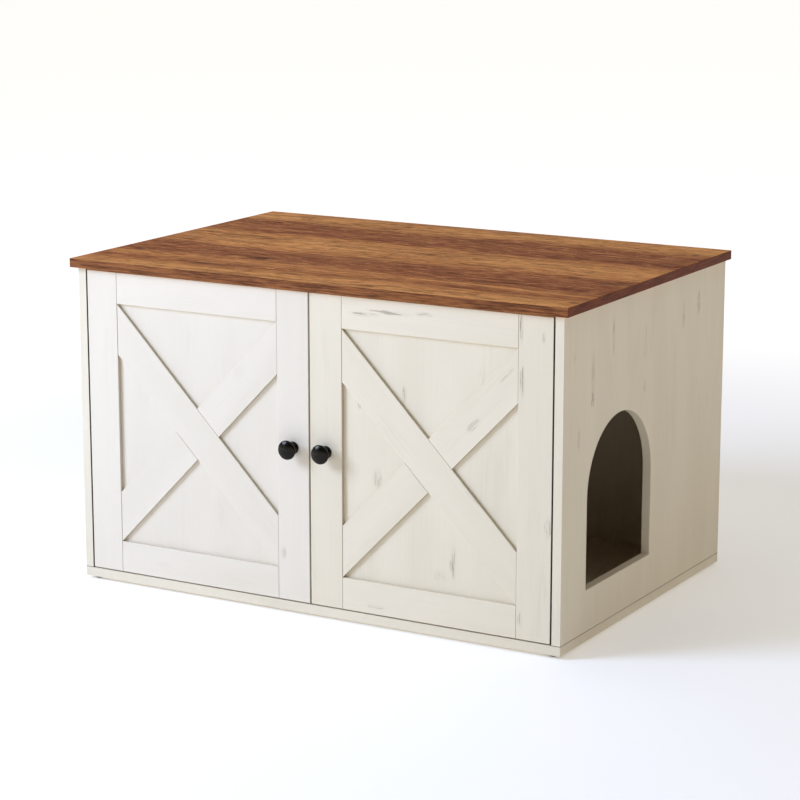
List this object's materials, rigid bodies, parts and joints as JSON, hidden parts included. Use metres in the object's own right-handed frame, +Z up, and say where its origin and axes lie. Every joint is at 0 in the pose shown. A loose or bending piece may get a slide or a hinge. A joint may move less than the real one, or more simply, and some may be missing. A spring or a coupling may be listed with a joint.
{
  "type": "litter box cabinet",
  "caption": "Low cabinet that hides a cat litter box: overhanging top, two inset doors with cross braces, and an arched cat entry in one side.",
  "frame": {"origin": "on the floor, in the middle of the whole footprint with the knobs", "axes": "+X to the right as seen from the front, towards the cat entry; +Y towards the back; +Z up"},
  "size_m": [0.9, 0.625, 0.54],
  "materials": {
    "cap_white": "moulded off-white plastic",
    "catch_magnet": "dark ferrite with steel pole plates",
    "catch_plastic": "moulded off-white plastic",
    "dowel_beech": "bare fluted beech",
    "fitting_zinc": "die-cast zinc",
    "foot_black": "moulded black plastic",
    "hinge_steel": "nickel-plated pressed steel",
    "knob_black": "gloss black enamel",
    "rear_board": "white-faced hardboard, satin",
    "screw_steel": "zinc-plated steel",
    "walnut_laminate": "wood-grain laminate, satin",
    "white_laminate": "distressed white wood-grain laminate, satin",
    "white_strip": "distressed white wood-grain foil on strips, satin"
  },
  "bodies": {
    "carcass": {"back_panel": "rear_board", "base_panel": "white_laminate", "cam_bolts": "screw_steel", "cam_caps": "cap_white", "cam_locks": "fitting_zinc", "catch_housings": "catch_plastic", "catch_magnets": "catch_magnet", "catch_screws": "screw_steel", "divider_panel": "white_laminate", "feet": "foot_black", "foot_nails": "screw_steel", "hinge_arm_screws": "screw_steel", "hinge_arms": "hinge_steel", "hinge_mounting_plates": "hinge_steel", "hinge_plate_screws": "screw_steel", "left_side_panel": "white_laminate", "right_side_panel": "white_laminate", "top_panel": "walnut_laminate", "wood_dowels": "dowel_beech"},
    "left_door": {"left_door_board": "white_laminate", "left_door_bottom_rail": "white_strip", "left_door_cup_screws": "screw_steel", "left_door_hinge_cups": "hinge_steel", "left_door_hinge_links": "hinge_steel", "left_door_hinge_pins": "screw_steel", "left_door_inner_stile": "white_strip", "left_door_knob": "knob_black", "left_door_knob_screw": "screw_steel", "left_door_long_brace": "white_strip", "left_door_lower_short_brace": "white_strip", "left_door_outer_stile": "white_strip", "left_door_strike_plate": "hinge_steel", "left_door_strike_screw": "screw_steel", "left_door_top_rail": "white_strip", "left_door_upper_short_brace": "white_strip"},
    "right_door": {"right_door_board": "white_laminate", "right_door_bottom_rail": "white_strip", "right_door_cup_screws": "screw_steel", "right_door_hinge_cups": "hinge_steel", "right_door_hinge_links": "hinge_steel", "right_door_hinge_pins": "screw_steel", "right_door_inner_stile": "white_strip", "right_door_knob": "knob_black", "right_door_knob_screw": "screw_steel", "right_door_long_brace": "white_strip", "right_door_lower_short_brace": "white_strip", "right_door_outer_stile": "white_strip", "right_door_strike_plate": "hinge_steel", "right_door_strike_screw": "screw_steel", "right_door_top_rail": "white_strip", "right_door_upper_short_brace": "white_strip"}
  },
  "joints": [
    {"name": "left_door_swing", "type": "hinge", "parent": "carcass", "child": "left_door", "pos_m": [-0.41875, -0.2875, 0.272], "axis": [0, 0, -1], "range_deg": [0, 100]},
    {"name": "right_door_swing", "type": "hinge", "parent": "carcass", "child": "right_door", "pos_m": [0.41875, -0.2875, 0.272], "axis": [0, 0, 1], "range_deg": [0, 100]}
  ]
}
